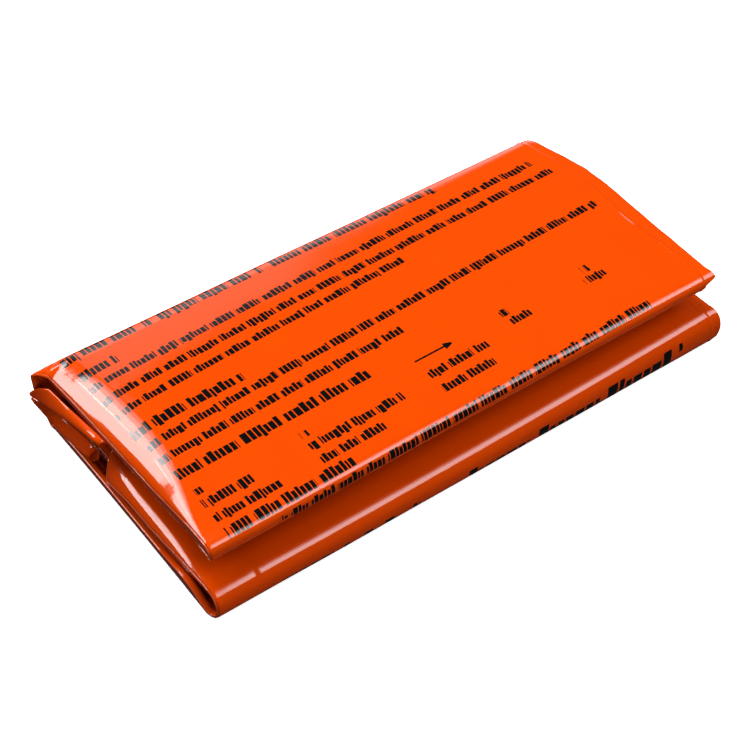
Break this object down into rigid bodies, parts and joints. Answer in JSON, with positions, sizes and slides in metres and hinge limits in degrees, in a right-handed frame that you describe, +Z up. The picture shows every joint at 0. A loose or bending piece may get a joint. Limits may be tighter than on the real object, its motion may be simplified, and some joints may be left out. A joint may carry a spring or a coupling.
{
  "type": "folded emergency sleeping bag",
  "caption": "Survival bag of glossy orange film, folded to a flat packet: two thick folded halves, open at the front, joined by a round spine, with corner pleats and a welded edge.",
  "frame": {"origin": "on the surface that the packet lies on, under the middle of its length and width", "axes": "+X to the right along the packet, towards the welded end; +Y from the front folds to the spine; +Z up"},
  "size_m": [0.23, 0.1168, 0.0353],
  "materials": {
    "film": "glossy"
  },
  "bodies": {
    "root": {"folded_bag": "film"}
  },
  "joints": []
}
